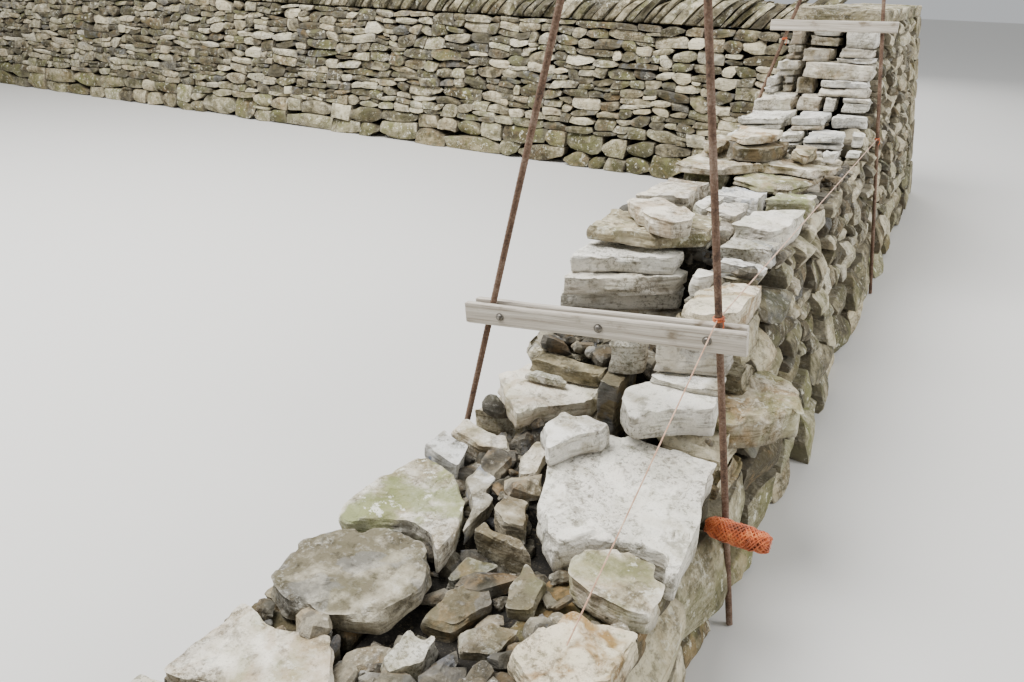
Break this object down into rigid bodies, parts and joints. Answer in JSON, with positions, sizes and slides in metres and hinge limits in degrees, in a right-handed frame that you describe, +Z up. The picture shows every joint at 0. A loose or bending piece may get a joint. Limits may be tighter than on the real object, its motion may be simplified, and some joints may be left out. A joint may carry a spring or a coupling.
{
  "type": "dry stone wall",
  "caption": "Corner of a battered dry stone boundary wall with a leaning cope and a leg being rebuilt, with its batter frames and line.",
  "frame": {"origin": "on the ground where the centrelines of the two walls cross", "axes": "-X along the finished boundary wall, -Y along the leg being rebuilt, +Z up"},
  "size_m": [10.043, 5.978, 1.38],
  "materials": {
    "weathered_stone": "weathered limestone, grey with lichen",
    "fresh_stone": "split limestone, pale grey to cream",
    "hearting": "small packed stone, dusty",
    "timber": "sawn softwood, weathered grey",
    "rusty_steel": "ribbed bar, rusted",
    "zinc_steel": "zinc-plated bolts, dull",
    "line": "twisted polypropylene line"
  },
  "bodies": {
    "root": {"batter_pins": "rusty_steel", "boundary_back_face": "weathered_stone", "boundary_footing_hearting": "hearting", "boundary_footing_stones": "weathered_stone", "boundary_front_face": "weathered_stone", "boundary_hearting": "hearting", "cope_bay_1": "weathered_stone", "cope_bay_2": "weathered_stone", "cope_bay_3": "weathered_stone", "cope_bay_4": "weathered_stone", "cope_bay_5": "weathered_stone", "cope_bay_6": "weathered_stone", "cope_springer": "weathered_stone", "corner_core": "weathered_stone", "corner_footing": "weathered_stone", "corner_quoins_along_leg": "weathered_stone", "corner_quoins_along_wall": "weathered_stone", "cover_stones": "weathered_stone", "cream_corner_stone": "fresh_stone", "crossbar_bolts": "zinc_steel", "far_crossbar": "timber", "guide_line": "line", "head_footing": "weathered_stone", "head_runners": "weathered_stone", "head_ties": "weathered_stone", "leg_footing_hearting": "hearting", "leg_footing_stones": "fresh_stone", "leg_hearting_lower": "hearting", "leg_hearting_upper": "hearting", "leg_left_face_lower": "fresh_stone", "leg_left_face_upper": "fresh_stone", "leg_right_face_lower": "fresh_stone", "leg_right_face_upper": "fresh_stone", "line_knots": "line", "line_tail": "line", "line_winder": "line", "loose_grey_block": "fresh_stone", "loose_top_stone": "fresh_stone", "mossy_slab": "weathered_stone", "near_bed_stones": "weathered_stone", "near_crossbar_back": "timber", "near_crossbar_front": "timber", "near_hearting": "hearting", "near_left_slabs": "fresh_stone", "near_right_stones": "fresh_stone", "ochre_slab": "fresh_stone", "pale_slab": "fresh_stone", "rack_blocks": "fresh_stone", "scar_stones": "fresh_stone", "stacked_slab_base": "fresh_stone", "stacked_slab_low": "fresh_stone", "stacked_slab_middle": "fresh_stone", "stacked_slab_top": "fresh_stone", "thin_green_slab": "fresh_stone", "thin_white_slab": "fresh_stone", "through_stone": "fresh_stone", "white_slab": "fresh_stone", "working_top_slab": "fresh_stone", "working_top_stones": "fresh_stone"}
  },
  "joints": []
}
